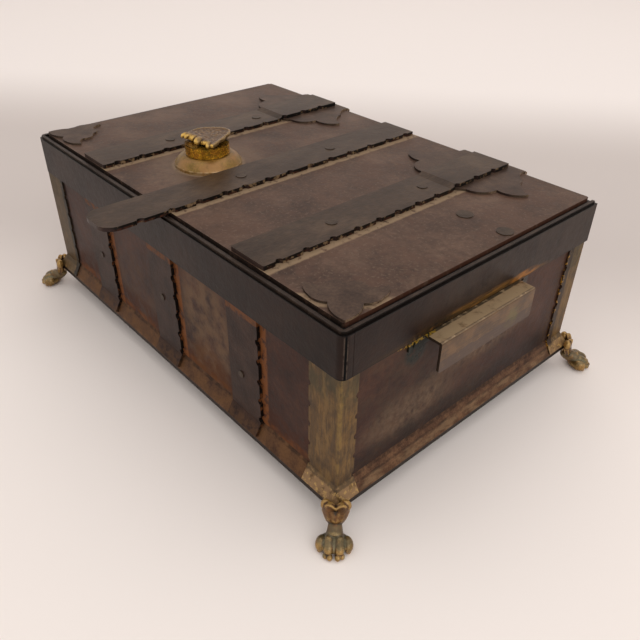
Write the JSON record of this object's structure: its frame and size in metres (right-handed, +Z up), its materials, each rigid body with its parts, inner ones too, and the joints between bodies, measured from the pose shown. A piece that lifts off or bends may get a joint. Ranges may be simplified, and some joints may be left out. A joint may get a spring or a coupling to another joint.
{
  "type": "iron strongbox",
  "caption": "Low iron strongbox with a rear-hinged strapped lid, a projecting lifting tongue, a turning latch knob, brass corner angles, end handles and lion-paw feet.",
  "frame": {"origin": "on the floor plane, at the centre of the overall plan bounding box; the box itself stands about 7 mm behind it because the tongue reaches out in front", "axes": "+X to the right seen from the front, +Y to the hinge side, +Z up; the tongue and the vertical straps face -Y"},
  "size_m": [0.3372, 0.2492, 0.1368],
  "materials": {
    "wall_iron": "reddish brown patina on sheet iron, rusted towards the foot",
    "lid_iron": "brown-grey patina, semi-gloss",
    "strap_iron": "dark grey-brown patina on strip iron, semi-gloss",
    "collar_iron": "dark oiled patina, semi-gloss",
    "moulding_iron": "dusty brown patina",
    "sheet_brass": "dull aged brass sheet, brushed along its length",
    "cast_brass": "aged cast brass, worn bright on high places, green in the grooves",
    "steel_fittings": "plain dulled steel"
  },
  "bodies": {
    "box": {"front_wall": "wall_iron", "rear_wall": "wall_iron", "left_wall": "wall_iron", "right_wall": "wall_iron", "bottom_plate": "wall_iron", "base_moulding_front": "moulding_iron", "base_moulding_right": "moulding_iron", "base_moulding_rear": "moulding_iron", "base_moulding_left": "moulding_iron", "collar_front": "collar_iron", "collar_rear": "collar_iron", "collar_right": "collar_iron", "collar_left": "collar_iron", "ledge_front": "collar_iron", "ledge_rear": "collar_iron", "ledge_right": "collar_iron", "ledge_left": "collar_iron", "lip_front": "collar_iron", "lip_right": "collar_iron", "lip_left": "collar_iron", "front_strap_left": "strap_iron", "front_strap_middle": "strap_iron", "front_strap_right": "strap_iron", "corner_angle_front_right": "sheet_brass", "corner_angle_front_left": "sheet_brass", "corner_angle_rear_right": "sheet_brass", "corner_angle_rear_left": "sheet_brass", "handle_right": "sheet_brass", "handle_left": "sheet_brass", "handle_rivets": "sheet_brass", "front_strap_rivets": "strap_iron", "hinge_body_leaf_left": "strap_iron", "hinge_body_leaf_right": "strap_iron", "hinge_leaf_rivets": "strap_iron", "foot_front_right": "cast_brass", "foot_front_left": "cast_brass", "foot_rear_right": "cast_brass", "foot_rear_left": "cast_brass", "foot_screws": "steel_fittings"},
    "lid": {"lid_plate": "lid_iron", "lid_strap_left": "strap_iron", "lid_strap_middle": "strap_iron", "lid_strap_right": "strap_iron", "lid_rivets": "strap_iron", "hinge_lid_leaf_left": "strap_iron", "hinge_lid_leaf_right": "strap_iron", "hinge_pin_left": "steel_fittings", "hinge_pin_right": "steel_fittings", "corner_ornament_right": "strap_iron", "corner_ornament_left": "strap_iron", "knob_flange": "cast_brass"},
    "knob": {"knob_barrel": "cast_brass", "knob_cap": "cast_brass", "knob_spindle": "steel_fittings", "latch_washer": "steel_fittings", "latch_blade": "steel_fittings", "latch_nut": "steel_fittings"}
  },
  "joints": [
    {"name": "lid_hinge", "type": "hinge", "parent": "box", "child": "lid", "pos_m": [0, 0.10634, 0.1169], "axis": [-1, 0, 0], "range_deg": [0, 105]},
    {"name": "knob_turn", "type": "hinge", "parent": "lid", "child": "knob", "pos_m": [-0.0335, -0.03196, 0.1202], "axis": [0, 0, 1], "range_deg": [0, 90]}
  ]
}
